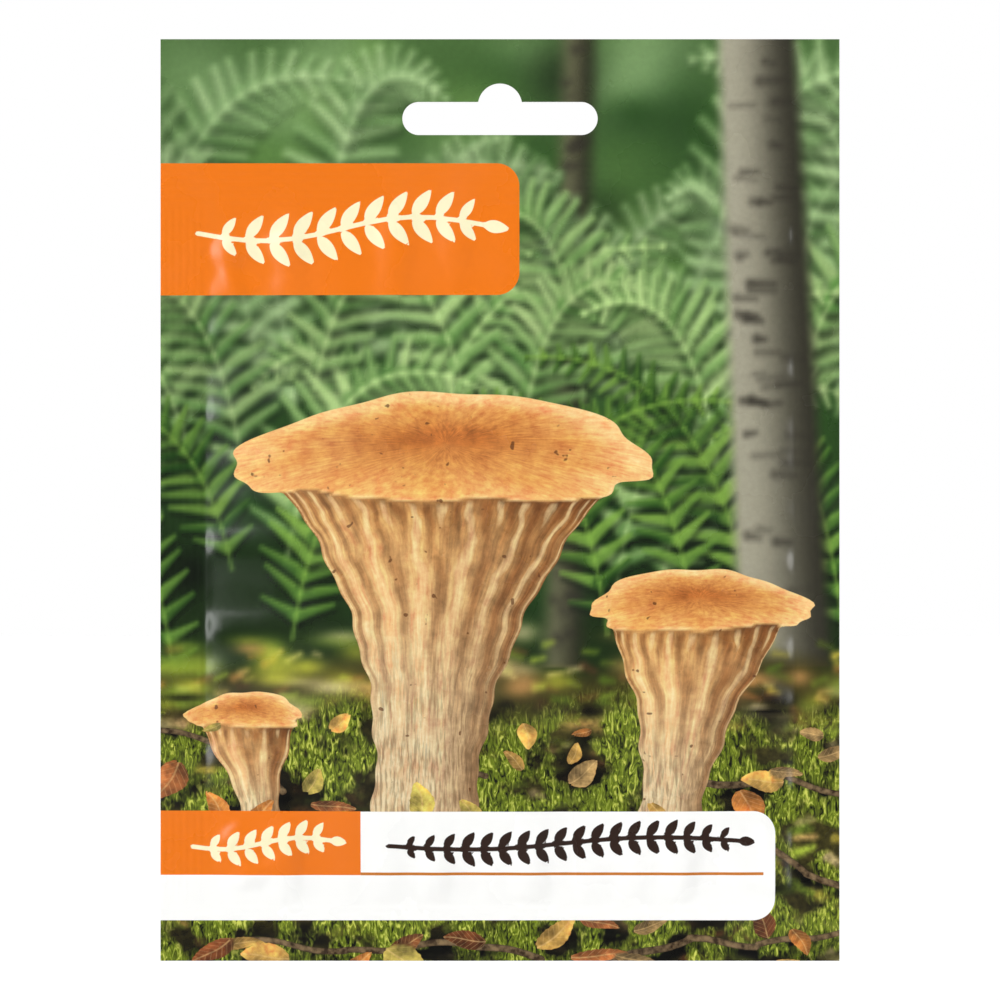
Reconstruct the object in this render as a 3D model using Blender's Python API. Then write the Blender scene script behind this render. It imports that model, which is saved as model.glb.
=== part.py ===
# A hanging packet of mushroom spawn: two laminate films sealed on all four sides round a bed of grains.
# Metres, +Z up. The front film faces -Y. The origin is the top of the hang slot, where a hook's wire bears.

import math
import random

import bmesh
import bpy
import numpy as np
from mathutils import Euler, Matrix, Vector

PACKET_WIDTH = 0.1105
PACKET_HEIGHT = 0.150

FILM_THICKNESS = 0.00018
SEAL_GAP = 0.0001  # between the two films where they are sealed

SIDE_SEAL = 0.0070
BOTTOM_SEAL = 0.0090
HEADER_HEIGHT = 0.0270  # top edge to the start of the belly
BELLY_DEPTH = 0.0038  # how far each film stands out at its fullest
FULLEST_HEIGHT = 0.42  # the share of the belly's height at which it is fullest, as the grains slump
SIDE_ROUNDNESS = 3.2  # powers of the belly's two cross-sections
HEIGHT_ROUNDNESS = 2.6
BELLY_COLUMNS = 20
BELLY_ROWS = 24

SLOT_LENGTH = 0.0318
SLOT_HEIGHT = 0.0054
SLOT_TOP_DROP = 0.0102  # packet's top edge to the slot's upper side
HUMP_RADIUS = 0.0036
HUMP_TOP_DROP = 0.0072  # packet's top edge to the top of the hump
CUTTER_REACH = 0.0040  # how far the slot's cutter runs to each side of the films
ARC_STEPS = 10

GRAIN_LENGTH = 0.0076
GRAIN_WIDTH = 0.0040
GRAIN_DEPTH = 0.0026
GRAIN_SHOULDERS = 0.20  # of the length, from the middle to each ring of corners
GRAIN_SIDES = 4
GRAIN_SIZES = (0.88, 1.10)  # smallest and largest, as shares of the three sizes above
GRAIN_SPACING = 0.0064
GRAIN_JITTER = 0.09  # of the spacing
GRAIN_TILT = math.radians(8)
GRAIN_CLEARANCE = 0.0004  # from a grain to the film that covers it
TWO_LAYERS_DEPTH = 0.0011  # a grain deeper than this has another behind it

CORE_DEPTH = 0.0008  # half the thickness of the bed's solid core
CORE_REACH = 0.75  # how far the core and the grains reach towards the edges of the belly
CORE_SEGMENTS = 24
CORE_RINGS = 8
SPAWN_SEED = 7

TOP_Z = HUMP_TOP_DROP
BOTTOM_Z = TOP_Z - PACKET_HEIGHT
BELLY_TOP_Z = TOP_Z - HEADER_HEIGHT
BELLY_BOTTOM_Z = BOTTOM_Z + BOTTOM_SEAL
BELLY_HEIGHT = BELLY_TOP_Z - BELLY_BOTTOM_Z
BELLY_HALF_WIDTH = PACKET_WIDTH / 2 - SIDE_SEAL
FULLEST_Z = BELLY_BOTTOM_Z + FULLEST_HEIGHT * BELLY_HEIGHT


def clear_scene():
    for item in list(bpy.data.objects):
        bpy.data.objects.remove(item, do_unlink=True)


def new_material(name, colour, roughness):
    material = bpy.data.materials.new(name)
    material.use_nodes = True
    shader = material.node_tree.nodes["Principled BSDF"]
    shader.inputs["Base Color"].default_value = (*colour, 1.0)
    shader.inputs["Roughness"].default_value = roughness
    shader.inputs["Metallic"].default_value = 0.0
    return material


def to_mesh(name, solid):
    mesh = bpy.data.meshes.new(name)
    solid.to_mesh(mesh)
    solid.free()
    return mesh


def add_object(name, mesh, material=None):
    item = bpy.data.objects.new(name, mesh)
    if material:
        mesh.materials.append(material)
    bpy.context.scene.collection.objects.link(item)
    return item


def above_fullest(z):
    """How far z is from the belly's fullest height, as a share of the way to the belly's edge."""
    return (z - FULLEST_Z) / (BELLY_TOP_Z - FULLEST_Z if z > FULLEST_Z else FULLEST_Z - BELLY_BOTTOM_Z)


def belly(x, z):
    """How far a film stands out at x, z: nothing in the seals, most where the grains lie deepest."""
    across = min(abs(x) / BELLY_HALF_WIDTH, 1.0)
    up = min(max((z - BELLY_BOTTOM_Z) / BELLY_HEIGHT, 0.0), 1.0)
    from_fullest = abs(above_fullest(BELLY_BOTTOM_Z + up * BELLY_HEIGHT))
    return BELLY_DEPTH * (1.0 - across**SIDE_ROUNDNESS) * (1.0 - from_fullest**HEIGHT_ROUNDNESS)


def add_sheet(solid, columns, rows, offset):
    """A grid of vertices over columns and rows, offset(x, z) along Y, joined by pairs of triangles."""
    grid = [[solid.verts.new((x, offset(x, z), z)) for x in columns] for z in rows]
    for low, high in zip(grid, grid[1:]):
        for a, b, c, d in zip(low, low[1:], high[1:], high):
            solid.faces.new((a, b, c))
            solid.faces.new((a, c, d))


def film_sheet(name, facing):
    """The film's inner face, finer over the belly. facing is -1 for the front, 1 for the back."""
    belly_x = BELLY_HALF_WIDTH * np.sin(np.linspace(-0.5, 0.5, BELLY_COLUMNS + 1) * math.pi)
    belly_z = np.linspace(BELLY_BOTTOM_Z, BELLY_TOP_Z, BELLY_ROWS + 1)
    columns = [-PACKET_WIDTH / 2, *belly_x, PACKET_WIDTH / 2]
    rows = [BOTTOM_Z, *belly_z, TOP_Z]
    sheet = bmesh.new()
    add_sheet(sheet, columns, rows, lambda x, z: facing * (SEAL_GAP / 2 + belly(x, z)))
    if facing > 0:
        bmesh.ops.reverse_faces(sheet, faces=sheet.faces)
    return to_mesh(name, sheet)


def arc(centre_x, centre_z, radius, start, end):
    """Points along an arc in the XZ plane, its angles in radians from +X towards +Z."""
    return [
        (centre_x + radius * math.cos(angle), centre_z + radius * math.sin(angle))
        for angle in np.linspace(start, end, ARC_STEPS + 1)
    ]


def slot_outline():
    """A long slot with round ends, and a hump in the middle of its upper side."""
    end_radius = SLOT_HEIGHT / 2
    end_x = SLOT_LENGTH / 2 - end_radius
    upper_z = TOP_Z - SLOT_TOP_DROP
    middle_z = upper_z - end_radius
    hump_z = TOP_Z - HUMP_TOP_DROP - HUMP_RADIUS
    hump_start = math.asin((upper_z - hump_z) / HUMP_RADIUS)
    return (
        arc(end_x, middle_z, end_radius, -math.pi / 2, math.pi / 2)
        + arc(0.0, hump_z, HUMP_RADIUS, hump_start, math.pi - hump_start)
        + arc(-end_x, middle_z, end_radius, math.pi / 2, math.pi * 3 / 2)
    )


def slot_cutter():
    """The slot's outline, carried right through both films."""
    solid = bmesh.new()
    outline = solid.faces.new([solid.verts.new((x, -CUTTER_REACH, z)) for x, z in slot_outline()])
    grown = bmesh.ops.extrude_face_region(solid, geom=[outline])
    far = [v for v in grown["geom"] if isinstance(v, bmesh.types.BMVert)]
    bmesh.ops.translate(solid, verts=far, vec=(0.0, 2 * CUTTER_REACH, 0.0))
    bmesh.ops.recalc_face_normals(solid, faces=solid.faces)
    cutter = add_object("slot_cutter", to_mesh("slot_cutter", solid))
    cutter.hide_render = True
    cutter.display_type = "WIRE"
    return cutter


def film(name, facing, material, cutter):
    """One laminate film, thickened outwards from its sheet, with the slot cut through it."""
    item = add_object(name, film_sheet(name, facing), material)
    wall = item.modifiers.new("wall", "SOLIDIFY")
    wall.thickness = FILM_THICKNESS
    wall.offset = 1.0
    cut = item.modifiers.new("slot", "BOOLEAN")
    cut.operation = "DIFFERENCE"
    cut.solver = "EXACT"
    cut.object = cutter
    return item


def bed_core():
    """A slim lens in the middle of the belly, which the grains stand out of."""
    solid = bmesh.new()
    bmesh.ops.create_uvsphere(solid, u_segments=CORE_SEGMENTS, v_segments=CORE_RINGS, radius=1.0)
    for vert in solid.verts:
        x, y, z = vert.co
        half_height = BELLY_TOP_Z - FULLEST_Z if z > 0.0 else FULLEST_Z - BELLY_BOTTOM_Z
        vert.co = (
            x * CORE_REACH * BELLY_HALF_WIDTH,
            y * CORE_DEPTH,
            z * CORE_REACH * half_height + FULLEST_Z,
        )
    return to_mesh("spawn", solid)


def grain(draw, place):
    """One plump grain at place: two rings of corners between two points, turned and tilted at random."""
    size = draw.uniform(*GRAIN_SIZES)
    solid = bmesh.new()
    for side in (-1, 1):
        solid.verts.new((side * size * GRAIN_LENGTH / 2, 0.0, 0.0))
        for step in range(GRAIN_SIDES):
            angle = (step + 0.5) * 2 * math.pi / GRAIN_SIDES
            y = GRAIN_DEPTH / math.sqrt(2) * math.cos(angle)
            z = GRAIN_WIDTH / math.sqrt(2) * math.sin(angle)
            solid.verts.new(size * Vector((side * GRAIN_SHOULDERS * GRAIN_LENGTH, y, z)))
    bmesh.ops.convex_hull(solid, input=solid.verts)
    tilt_x, tilt_z = (draw.uniform(-1, 1) * GRAIN_TILT for _ in range(2))
    turn = Euler((tilt_x, draw.uniform(0, math.pi), tilt_z), "XZY")
    bmesh.ops.transform(solid, matrix=Matrix.LocRotScale(place, turn, None), verts=solid.verts)
    bmesh.ops.recalc_face_normals(solid, faces=solid.faces)
    return bpy.data.objects.new("grain", to_mesh("grain", solid))


def grain_places(draw):
    """Centres of grains in staggered rows, on both faces of the bed, or in one layer where it is thin."""
    pitch_z = GRAIN_SPACING * math.sqrt(3) / 2
    columns = int(BELLY_HALF_WIDTH / GRAIN_SPACING)
    reach = GRAIN_LENGTH / 2 * GRAIN_SIZES[1]
    half_depth = GRAIN_DEPTH / 2 * GRAIN_SIZES[1]
    for row in range(int(BELLY_HEIGHT / pitch_z) + 1):
        for column in range(-columns, columns + 1):
            x = GRAIN_SPACING * (column + 0.5 * (row % 2) + draw.uniform(-1, 1) * GRAIN_JITTER)
            z = BELLY_BOTTOM_Z + row * pitch_z + GRAIN_SPACING * draw.uniform(-1, 1) * GRAIN_JITTER
            room = min(belly(x + i * reach, z + k * reach) for i in (-1, 0, 1) for k in (-1, 0, 1))
            depth = room - GRAIN_CLEARANCE - half_depth
            if depth < 0.0 or math.hypot(x / BELLY_HALF_WIDTH, above_fullest(z)) > CORE_REACH:
                continue
            if depth > TWO_LAYERS_DEPTH:
                yield Vector((x, -depth, z))
                yield Vector((x, depth, z))
            else:
                yield Vector((x, 0.0, z))


def keep_outer_skin(mesh):
    """Removes every skin but the largest, which fills the hollows that joining sealed."""
    solid = bmesh.new()
    solid.from_mesh(mesh)
    unseen = set(solid.verts)
    skins = []
    while unseen:
        skin = set()
        front = {unseen.pop()}
        while front:
            skin |= front
            front = {edge.other_vert(vert) for vert in front for edge in vert.link_edges} - skin
        unseen -= skin
        skins.append(skin)
    skins.sort(key=len)
    for skin in skins[:-1]:
        bmesh.ops.delete(solid, geom=list(skin), context="VERTS")
    solid.to_mesh(mesh)
    solid.free()


def spawn(material):
    """The contents: grains standing out of a core, joined with it into one body."""
    draw = random.Random(SPAWN_SEED)
    item = add_object("spawn", bed_core(), material)
    grains = bpy.data.collections.new("grains")
    bpy.context.scene.collection.children.link(grains)
    for place in grain_places(draw):
        grains.objects.link(grain(draw, place))
    join = item.modifiers.new("grains", "BOOLEAN")
    join.operation = "UNION"
    join.solver = "EXACT"
    join.operand_type = "COLLECTION"
    join.collection = grains
    evaluated = item.evaluated_get(bpy.context.evaluated_depsgraph_get())
    joined = bpy.data.meshes.new_from_object(evaluated)
    keep_outer_skin(joined)
    item.modifiers.clear()
    item.data = joined
    for loose in list(grains.objects):
        bpy.data.objects.remove(loose, do_unlink=True)
    bpy.data.collections.remove(grains)
    return item


def main():
    clear_scene()
    cutter = slot_cutter()
    film("front_film", -1, new_material("printed_film", (0.20, 0.32, 0.10), 0.38), cutter)
    film("back_film", 1, new_material("plain_film", (0.82, 0.80, 0.74), 0.42), cutter)
    spawn(new_material("spawn_grains", (0.62, 0.50, 0.34), 0.85))


main()
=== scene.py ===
import math

import bmesh
import bpy
import numpy as np
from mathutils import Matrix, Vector


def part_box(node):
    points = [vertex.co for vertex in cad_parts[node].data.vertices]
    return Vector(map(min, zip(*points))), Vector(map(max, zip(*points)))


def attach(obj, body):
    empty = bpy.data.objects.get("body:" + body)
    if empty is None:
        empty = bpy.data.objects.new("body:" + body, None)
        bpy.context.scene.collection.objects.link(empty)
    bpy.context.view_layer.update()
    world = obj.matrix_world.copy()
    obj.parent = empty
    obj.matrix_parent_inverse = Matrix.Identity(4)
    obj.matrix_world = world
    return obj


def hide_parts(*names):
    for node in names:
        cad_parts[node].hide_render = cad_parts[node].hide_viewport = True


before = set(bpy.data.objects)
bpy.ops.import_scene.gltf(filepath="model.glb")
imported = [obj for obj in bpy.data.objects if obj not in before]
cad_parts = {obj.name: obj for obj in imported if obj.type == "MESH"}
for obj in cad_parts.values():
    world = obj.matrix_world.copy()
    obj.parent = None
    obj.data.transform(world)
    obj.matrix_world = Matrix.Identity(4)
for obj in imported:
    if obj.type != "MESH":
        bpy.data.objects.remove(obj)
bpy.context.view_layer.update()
frontLow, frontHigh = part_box("front_film")
print("frame loaded:", sorted(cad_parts))

mm = 0.001

# The packet's own measures, in metres. The outline and the belly's depth come from the frame.
packet = {
    "left": frontLow.x,
    "right": frontHigh.x,
    "bottom": frontLow.z,
    "top": frontHigh.z,
    "sideSeal": 7.0 * mm,
    "bottomSeal": 9.0 * mm,
    "header": 27.0 * mm,
    "headerSeal": 8.5 * mm,
    "sealFace": 0.23 * mm,  # a film's outer face from the middle plane, where it is sealed
    "wall": 0.22 * mm,  # at the seals
    "bellyWall": 0.18 * mm,
    "wallFade": 0.5 * mm,  # the belly's depth over which the wall thins
    "fullest": 0.42,
    "sideRoundness": 3.2,
    "heightRoundness": 2.6,
    "sharpAngle": 40.0,
}
packet["bellyDepth"] = -frontLow.y - packet["sealFace"]
packet["bellyHalf"] = packet["right"] - packet["sideSeal"]
packet["bellyLow"] = packet["bottom"] + packet["bottomSeal"]
packet["bellyHigh"] = packet["top"] - packet["header"]

slot = {
    "length": 31.8 * mm,
    "height": 5.4 * mm,
    "topDrop": 10.2 * mm,
    "humpRadius": 3.6 * mm,
    "humpDrop": 7.2 * mm,
    "reach": 4.0 * mm,
    "steps": 28,
}

# Each rib of a seal takes four steps of the grid, so that every rib comes out alike.
seals = {
    "sideRibs": 6,
    "bottomRibs": 8,
    "headerRibs": 7,
    "ribSteps": 4,
    "ribHeight": 0.040 * mm,
    "ribFade": 0.6 * mm,
}

# Depths, widths and reaches in metres. The fades are what each kind of relief takes to rise in full.
relief = {
    "lumpSpacing": 5.4 * mm,
    "lumpRow": 0.87,  # from row to row, in spacings
    "lumpJitter": 0.32,
    "lumpSizes": (0.3, 1.0),
    "lumpRadius": 2.3 * mm,
    "lumpReach": 7.0 * mm,
    "lumpHeight": 0.21 * mm,
    "lumpStart": 0.35,  # of the belly's full depth
    "lumpFade": 0.4,
    "slackDepth": 0.34 * mm,
    "slackFade": 1.2 * mm,
    "slackWaves": ((21.0, 0.35), (29.0, -0.5), (16.0, 1.2), (38.0, 1.45)),  # millimetres and radians
    "puckerDepth": 0.55 * mm,
    "puckerReach": 5.0 * mm,
    "puckerFade": 1.5 * mm,
    "creaseDepth": 0.38 * mm,
    "creaseWidth": 1.5 * mm,
    "creaseReach": 17.0 * mm,
    "creaseStart": 3.0 * mm,
    "creaseFade": 0.4 * mm,
    "creaseAngle": 48.0,
    "creaseTurns": (-0.32, 0.28),
    "creaseJitter": 0.08,
    "hollowLimit": 0.25 * mm,
    "hollowShare": 0.8,  # of the belly's depth there, which no hollow passes
}

films = {
    "frontFilm": {"facing": -1, "seed": 3, "belly": 0.465 * mm, "header": 0.60 * mm, "inner": 4},
    "backFilm": {"facing": 1, "seed": 25, "belly": 0.55 * mm, "header": 0.60 * mm, "inner": 3},
}


def smooth(share):
    # 0 below 0, 1 above 1, and a smooth S between them
    share = np.clip(share, 0.0, 1.0)
    return share * share * (3.0 - 2.0 * share)


def towards(start, end, share):
    # colours moved from one towards another, each point by its own share
    return start + share[:, None] * (end - start)


def toLinear(colour):
    # display values 0..1 to linear light
    colour = np.clip(np.asarray(colour, float), 0.0, 1.0)
    return np.where(colour <= 0.04045, colour / 12.92, ((colour + 0.055) / 1.055) ** 2.4)


def shade(red, green, blue):
    # a display colour in 0..255 as the linear RGBA that sockets take
    return (*toLinear(np.array([red, green, blue]) / 255.0).tolist(), 1.0)


def addObject(name, data):
    made = bpy.data.objects.new(name, data)
    bpy.context.scene.collection.objects.link(made)
    return made


def bellyAt(x, z):
    # full depth times one minus a power of the distance from the fullest point, across and up
    low, high = packet["bellyLow"], packet["bellyHigh"]
    fullestZ = low + packet["fullest"] * (high - low)
    across = np.clip(np.abs(x) / packet["bellyHalf"], 0.0, 1.0)
    up = (z - fullestZ) / np.where(z > fullestZ, high - fullestZ, fullestZ - low)
    up = np.clip(np.abs(up), 0.0, 1.0)
    wide = 1.0 - across ** packet["sideRoundness"]
    return packet["bellyDepth"] * wide * (1.0 - up ** packet["heightRoundness"])


def lumpsAt(x, z, rng):
    # round bumps in staggered rows, jittered, where grains press the film out from inside
    total = np.zeros_like(x)
    pitchX, reach, jitter = relief["lumpSpacing"], relief["lumpReach"], relief["lumpJitter"]
    pitchZ = pitchX * relief["lumpRow"]
    columns = int(packet["bellyHalf"] / pitchX)
    for row in range(1, int((packet["bellyHigh"] - packet["bellyLow"]) / pitchZ)):
        for column in range(-columns, columns + 1):
            shift = rng.uniform(-jitter, jitter, 2)
            size = rng.uniform(*relief["lumpSizes"])
            atX = (column + 0.5 * (row % 2) + shift[0]) * pitchX
            atZ = packet["bellyLow"] + (row + shift[1]) * pitchZ
            near = np.nonzero((np.abs(x - atX) < reach) & (np.abs(z - atZ) < reach))[0]
            apart = ((x[near] - atX) ** 2 + (z[near] - atZ) ** 2) / relief["lumpRadius"] ** 2
            total[near] += size * np.exp(-apart)
    deep = smooth((bellyAt(x, z) / packet["bellyDepth"] - relief["lumpStart"]) / relief["lumpFade"])
    return relief["lumpHeight"] * total * deep


def wavesAlong(line, rng, lengths):
    # a sum of sines of these wavelengths along a seal, with random phases, about -1 to 1
    total = np.zeros_like(line)
    for length in lengths:
        total += np.sin(2 * math.pi * line / length + rng.uniform(0, 2 * math.pi)) / len(lengths)
    return total


def puckersAt(x, z, rng):
    # creases that start at each seal, run square to it and die out inside the belly
    half, low, high, fade = packet["bellyHalf"], packet["bellyLow"], packet["bellyHigh"], relief["puckerFade"]
    inside = smooth((half - np.abs(x)) / fade) * smooth((z - low) / fade) * smooth((high - z) / fade)
    total = np.zeros_like(x)
    sides = (
        (half - x, z, (7.5, 11.0, 17.0), 1.0),
        (half + x, z, (6.8, 12.0, 19.0), 1.0),
        (z - low, x, (8.0, 13.0, 21.0), 0.9),
        (high - z, x, (9.0, 14.0, 23.0), 1.5),
    )
    for away, line, lengths, reach in sides:
        share = np.clip(away, 0, None) / (relief["puckerReach"] * reach)
        envelope = share * np.exp(1.0 - share)
        total += envelope * wavesAlong(line, rng, [length * mm for length in lengths])
    return relief["puckerDepth"] * total * inside


def creasesAt(x, z, rng):
    # two folds out of each corner of the belly: a narrow ridge along a line that fades with distance
    total = np.zeros_like(x)
    jitter = relief["creaseJitter"]
    for sideX in (-1, 1):
        for cornerZ, sideZ in ((packet["bellyLow"], 1), (packet["bellyHigh"], -1)):
            for turn in relief["creaseTurns"]:
                angle = math.radians(relief["creaseAngle"]) + turn + rng.uniform(-jitter, jitter)
                alongX, alongZ = -sideX * math.cos(angle), sideZ * math.sin(angle)
                fromX, fromZ = x - sideX * packet["bellyHalf"], z - cornerZ
                along = fromX * alongX + fromZ * alongZ
                across = fromX * alongZ - fromZ * alongX
                fade = smooth(along / relief["creaseStart"]) * np.exp(-((along / relief["creaseReach"]) ** 2))
                total += fade * np.exp(-((across / relief["creaseWidth"]) ** 2))
    return relief["creaseDepth"] * total


def slackAt(x, z, rng):
    # long soft waves where the filled film hangs a little loose: sines across slanted directions
    total = np.zeros_like(x)
    for length, tilt in relief["slackWaves"]:
        phase = rng.uniform(0, 2 * math.pi)
        turns = 2 * math.pi * (x * math.cos(tilt) + z * math.sin(tilt)) / (length * mm)
        total += np.sin(turns + phase) / len(relief["slackWaves"])
    return relief["slackDepth"] * total * smooth(bellyAt(x, z) / relief["slackFade"])


def ribsAt(x, z):
    # pressed ribs, a squared sine across each seal: upright in the side seals, level in the other two
    side = (np.abs(x) - packet["bellyHalf"]) / packet["sideSeal"]
    low = (packet["bellyLow"] - z) / packet["bottomSeal"]
    high = (z - packet["bellyHigh"]) / packet["headerSeal"]
    ribs = smooth(-low * packet["bottomSeal"] / seals["ribFade"])
    ribs = ribs * smooth(-high * packet["headerSeal"] / seals["ribFade"]) * (side > 0)
    ribs = ribs * np.sin(math.pi * seals["sideRibs"] * side) ** 2
    ribs = ribs + (low > 0) * np.sin(math.pi * seals["bottomRibs"] * low) ** 2
    ribs = ribs + (high > 0) * (high < 1) * np.sin(math.pi * seals["headerRibs"] * high) ** 2
    return seals["ribHeight"] * ribs


def filmFace(x, z, seed):
    # how far a film's outer face stands from the middle plane
    rng = np.random.default_rng(seed)
    belly = bellyAt(x, z)
    raised = lumpsAt(x, z, rng) + puckersAt(x, z, rng)
    raised = raised + creasesAt(x, z, rng) * smooth(belly / relief["creaseFade"]) + slackAt(x, z, rng)
    # hollows flatten out at this limit, so that the film stays clear of the grains
    raised = np.where(raised < 0, raised / (1 - raised / relief["hollowLimit"]), raised)
    return packet["sealFace"] + belly + np.maximum(raised, -relief["hollowShare"] * belly) + ribsAt(x, z)


def cuts(stretches):
    # places along one side of the film: each stretch (start, end, step) cut into equal steps
    places = [np.linspace(a, b, max(1, round(abs(b - a) / step)) + 1)[:-1] for a, b, step in stretches]
    return np.append(np.concatenate(places), stretches[-1][1])


def lowestNearby(face, reach):
    # the least value within this many rows and columns of each point
    rows, columns = face.shape
    padded = np.pad(face, reach, mode="edge")
    span = range(2 * reach + 1)
    return np.minimum.reduce([padded[i : i + rows, j : j + columns] for i in span for j in span])


def gridQuads(index):
    # the cells of a grid of vertex numbers, each as its four corners in turn
    return np.stack([index[:-1, :-1], index[:-1, 1:], index[1:, 1:], index[1:, :-1]], -1).reshape(-1, 4)


def filmMesh(name):
    # A closed thin shell. The outer face is a function of x and z on a fine grid. The inner face takes
    # every third or fourth column and row of it, a wall's thickness below the lowest point nearby, so
    # that the two never cross. Polygons along the outline join them.
    film = films[name]
    half, low, high = packet["bellyHalf"], packet["bellyLow"], packet["bellyHigh"]
    sealTop = high + packet["headerSeal"]
    sideStep, bottomStep, headerStep = (
        packet[part + "Seal"] / (seals[part + "Ribs"] * seals["ribSteps"])
        for part in ("side", "bottom", "header")
    )
    columns = cuts([
        (-packet["right"], -half, sideStep),
        (-half, half, film["belly"]),
        (half, packet["right"], sideStep),
    ])
    rows = cuts([
        (packet["bottom"], low, bottomStep),
        (low, high, film["belly"]),
        (high, sealTop, headerStep),
        (sealTop, packet["top"], film["header"]),
    ])
    across, up, stride = len(columns), len(rows), film["inner"]
    x, z = np.meshgrid(columns, rows)
    face = filmFace(x.ravel(), z.ravel(), film["seed"]).reshape(up, across)
    keptColumns = np.append(np.arange(0, across - 1, stride), across - 1)
    keptRows = np.append(np.arange(0, up - 1, stride), up - 1)
    kept = np.ix_(keptRows, keptColumns)
    thinner = smooth(bellyAt(x[kept], z[kept]) / packet["wallFade"]) * (packet["wall"] - packet["bellyWall"])
    innerFace = lowestNearby(face, stride)[kept] - packet["wall"] + thinner
    outer = np.stack([x.ravel(), film["facing"] * face.ravel(), z.ravel()], 1)
    inner = np.stack([x[kept].ravel(), film["facing"] * innerFace.ravel(), z[kept].ravel()], 1)
    index = np.arange(across * up).reshape(up, across)
    inside = np.arange(len(inner)).reshape(innerFace.shape) + len(outer)
    faces = gridQuads(index).tolist() + gridQuads(inside)[:, [0, 3, 2, 1]].tolist()
    edges = (
        (index[0, :], inside[0, :], keptColumns, False),
        (index[-1, :], inside[-1, :], keptColumns, True),
        (index[:, 0], inside[:, 0], keptRows, True),
        (index[:, -1], inside[:, -1], keptRows, False),
    )
    for fine, coarse, keptPlaces, turned in edges:
        for place in range(len(coarse) - 1):
            run = fine[keptPlaces[place] : keptPlaces[place + 1] + 1].tolist()
            polygon = run[::-1] + [int(coarse[place]), int(coarse[place + 1])]
            faces.append(polygon[::-1] if turned else polygon)
    if film["facing"] > 0:
        faces = [polygon[::-1] for polygon in faces]
    mesh = bpy.data.meshes.new(name)
    mesh.from_pydata(np.concatenate([outer, inner]).tolist(), [], faces)
    mesh.update()
    return mesh


def arc(centreX, centreZ, radius, start, end):
    angles = np.linspace(start, end, slot["steps"] + 1)
    return [(centreX + radius * math.cos(a), centreZ + radius * math.sin(a)) for a in angles]


def slotCutter():
    # the slot's outline as arcs and straight lines, carried through both films
    endRadius = slot["height"] / 2
    endX = slot["length"] / 2 - endRadius
    upperZ = packet["top"] - slot["topDrop"]
    humpZ = packet["top"] - slot["humpDrop"] - slot["humpRadius"]
    humpStart = math.asin((upperZ - humpZ) / slot["humpRadius"])
    outline = (
        arc(endX, upperZ - endRadius, endRadius, -math.pi / 2, math.pi / 2)
        + arc(0, humpZ, slot["humpRadius"], humpStart, math.pi - humpStart)
        + arc(-endX, upperZ - endRadius, endRadius, math.pi / 2, 1.5 * math.pi)
    )
    solid = bmesh.new()
    near = solid.faces.new([solid.verts.new((x, -slot["reach"], z)) for x, z in outline])
    grown = bmesh.ops.extrude_face_region(solid, geom=[near])
    far = [v for v in grown["geom"] if isinstance(v, bmesh.types.BMVert)]
    bmesh.ops.translate(solid, verts=far, vec=(0, 2 * slot["reach"], 0))
    bmesh.ops.recalc_face_normals(solid, faces=solid.faces)
    mesh = bpy.data.meshes.new("slotCutter")
    solid.to_mesh(mesh)
    solid.free()
    return addObject("slotCutter", mesh)


def addFilm(name, cutter):
    film = addObject(name, filmMesh(name))
    cut = film.modifiers.new("slot", "BOOLEAN")
    cut.operation = "DIFFERENCE"
    cut.solver = "EXACT"
    cut.object = cutter
    evaluated = film.evaluated_get(bpy.context.evaluated_depsgraph_get())
    whole = bpy.data.meshes.new_from_object(evaluated)
    film.modifiers.clear()
    film.data = whole
    whole.shade_smooth()
    whole.set_sharp_from_angle(angle=math.radians(packet["sharpAngle"]))
    return film


# The printed picture is worked out in millimetres: u from the packet's left edge, v down from its top.
def newCanvas(film):
    mesh = film.data
    points = np.empty(len(mesh.vertices) * 3)
    mesh.vertices.foreach_get("co", points)
    points = points.reshape(-1, 3)
    u = (points[:, 0] - packet["left"]) / mm
    v = (packet["top"] - points[:, 2]) / mm
    return {"mesh": mesh, "u": u, "v": v, "y": points[:, 1], "rgb": np.zeros((len(u), 3))}


def writeColour(canvas, name, rgb):
    layer = canvas["mesh"].attributes.new(name, "FLOAT_COLOR", "POINT")
    rgba = np.ones((len(rgb), 4))
    rgba[:, :3] = toLinear(rgb)
    layer.data.foreach_set("color", rgba.astype(np.float32).ravel())


def writeValue(canvas, name, values):
    layer = canvas["mesh"].attributes.new(name, "FLOAT", "POINT")
    layer.data.foreach_set("value", values.astype(np.float32))


def lay(canvas, where, share, colour):
    canvas["rgb"][where] = towards(canvas["rgb"][where], np.asarray(colour) / 255.0, share)


def nearBox(canvas, start, end, reach):
    near = True
    for values, a, b in ((canvas["u"], start[0], end[0]), (canvas["v"], start[1], end[1])):
        near = near & (values > min(a, b) - reach) & (values < max(a, b) + reach)
    return np.nonzero(near)[0]


def fromSegment(canvas, where, start, end):
    # how far along the segment each point lies, 0 to 1, and its offset from the nearest point of it
    fromU, fromV = canvas["u"][where] - start[0], canvas["v"][where] - start[1]
    runU, runV = end[0] - start[0], end[1] - start[1]
    along = np.clip((fromU * runU + fromV * runV) / (runU * runU + runV * runV + 1e-9), 0, 1)
    return along, fromU - along * runU, fromV - along * runV


def stroke(canvas, start, end, halfWidths, colour, strength, soft):
    # a tapered line: laid where the distance to the segment is under its half-width, with a soft edge
    where = nearBox(canvas, start, end, max(halfWidths) + soft)
    if not len(where):
        return
    along, offU, offV = fromSegment(canvas, where, start, end)
    width = halfWidths[0] + (halfWidths[1] - halfWidths[0]) * along
    lay(canvas, where, strength * smooth((width - np.hypot(offU, offV)) / (2 * soft) + 0.5), colour)


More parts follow.
